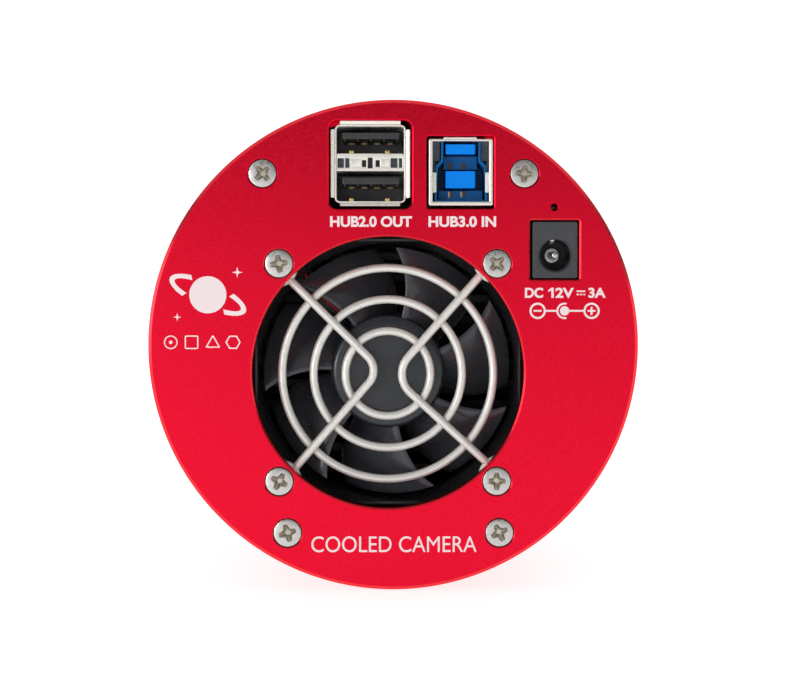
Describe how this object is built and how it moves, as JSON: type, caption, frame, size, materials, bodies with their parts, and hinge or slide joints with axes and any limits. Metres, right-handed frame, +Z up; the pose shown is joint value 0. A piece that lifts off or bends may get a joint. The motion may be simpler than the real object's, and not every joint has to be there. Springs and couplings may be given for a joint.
{
  "type": "cooled astronomy camera",
  "caption": "Round fan-cooled astronomy camera with a wire-guarded rear fan, stacked data sockets, a power jack and a tilting front plate.",
  "frame": {"origin": "centre of the tilt plate's front face, on the optical axis", "axes": "+Y forward along the optical axis to the telescope, +Z up to the connector side, +X to the right seen from the rear face"},
  "size_m": [0.09, 0.0985, 0.09],
  "materials": {
    "red_anodised": "bead-blasted red anodised aluminium",
    "black_anodised": "black anodised aluminium",
    "bright_screw": "plated steel",
    "dark_screw": "black oxide steel",
    "nickel_wire": "polished nickel-plated steel wire",
    "black_plastic": "black moulded plastic",
    "connector_steel": "tin-plated sheet steel",
    "blue_plastic": "blue moulded plastic",
    "green_board": "green solder mask on glass fibre board",
    "bare_aluminium": "machined bare aluminium",
    "ceramic": "white ceramic",
    "sensor_die": "dark iridescent silicon",
    "clear_glass": "clear coated glass",
    "black_rubber": "black rubber",
    "amber_film": "amber polyimide film",
    "bronze": "sintered bronze",
    "copper": "enamelled copper winding",
    "led": "clear moulded lens",
    "foam": "black closed-cell foam",
    "lead_jacket": "red wire insulation",
    "white_print": "white laser marking"
  },
  "bodies": {
    "tilt_plate": {"tilt_plate": "black_anodised", "push_screw_1": "dark_screw", "push_screw_2": "dark_screw", "push_screw_3": "dark_screw"},
    "light_seal": {"light_seal": "foam"},
    "camera_body": {"chamber_o_ring": "black_rubber", "cold_finger": "bare_aluminium", "cooler_cold_plate": "ceramic", "cooler_couples": "bronze", "cooler_hot_plate": "ceramic", "cover_screw_1": "bright_screw", "cover_screw_2": "bright_screw", "cover_screw_3": "bright_screw", "cover_screw_4": "bright_screw", "dc_jack_body": "black_plastic", "dc_jack_pin": "bright_screw", "dc_jack_spring": "connector_steel", "desiccant_plug": "black_anodised", "dew_heater_ring": "amber_film", "fan_bearing": "bronze", "fan_frame": "black_plastic", "fan_grille": "nickel_wire", "fan_lead": "lead_jacket", "fan_screw_1": "bright_screw", "fan_screw_2": "bright_screw", "fan_screw_3": "bright_screw", "fan_screw_4": "bright_screw", "fan_stator": "copper", "feedthrough_connector": "black_plastic", "finger_insulation": "foam", "front_housing": "red_anodised", "heatsink": "bare_aluminium", "housing_screw_1": "dark_screw", "housing_screw_2": "dark_screw", "housing_screw_3": "dark_screw", "image_sensor": "ceramic", "indicator_led": "led", "main_board": "green_board", "mid_plate": "black_anodised", "processor_chip": "black_plastic", "pull_screw_1": "dark_screw", "pull_screw_2": "dark_screw", "pull_screw_3": "dark_screw", "rear_cover": "red_anodised", "rear_housing": "red_anodised", "sensor_board": "green_board", "sensor_cover_glass": "clear_glass", "sensor_die": "sensor_die", "sensor_flex": "amber_film", "usb_a_shell": "connector_steel", "usb_a_tongue_lower": "black_plastic", "usb_a_tongue_upper": "black_plastic", "usb_b_insulator": "blue_plastic", "usb_b_shell": "connector_steel", "window_glass": "clear_glass", "window_o_ring": "black_rubber", "window_retainer": "black_anodised"},
    "fan_rotor": {"fan_rotor": "black_plastic", "fan_shaft": "bright_screw", "fan_magnet_ring": "black_rubber"}
  },
  "joints": [
    {"name": "tilt_left_right", "type": "hinge", "parent": "tilt_plate", "child": "light_seal", "pos_m": [0, -0.0056, 0], "axis": [0, 0, 1], "range_deg": [-0.5, 0.5]},
    {"name": "tilt_up_down", "type": "hinge", "parent": "light_seal", "child": "camera_body", "pos_m": [0, -0.0056, 0], "axis": [1, 0, 0], "range_deg": [-0.5, 0.5]},
    {"name": "fan_spin", "type": "hinge", "parent": "camera_body", "child": "fan_rotor", "pos_m": [-0.001, -0.0865, -0.005], "axis": [0, 1, 0], "continuous": true}
  ]
}
